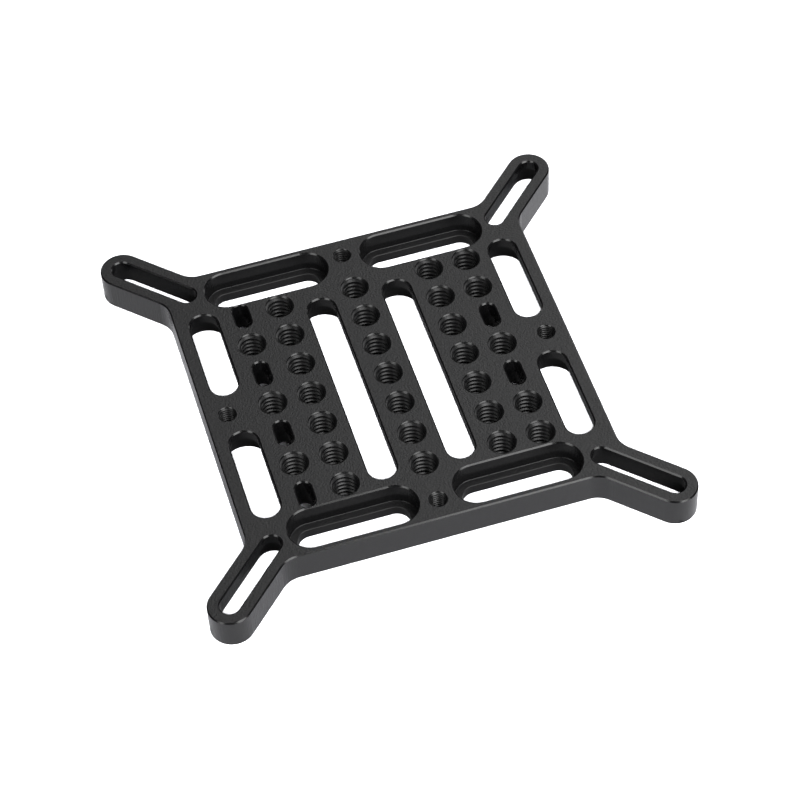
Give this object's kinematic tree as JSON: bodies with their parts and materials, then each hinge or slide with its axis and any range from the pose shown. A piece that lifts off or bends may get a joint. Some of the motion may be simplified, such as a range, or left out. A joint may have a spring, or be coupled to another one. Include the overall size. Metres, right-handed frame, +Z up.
{
  "type": "monitor mounting plate",
  "caption": "Square black mounting plate with tapped holes, long screw slots and a slotted diagonal arm at each corner for fixing a screen.",
  "frame": {"origin": "centre of the plate on its underside", "axes": "+X to the right and +Y away from the viewer in the picture, +Z up out of the top face"},
  "size_m": [0.11, 0.11, 0.008],
  "materials": {
    "anodised_aluminium": "bead-blasted and black anodised, satin"
  },
  "bodies": {
    "root": {"mounting_plate": "anodised_aluminium"}
  },
  "joints": []
}
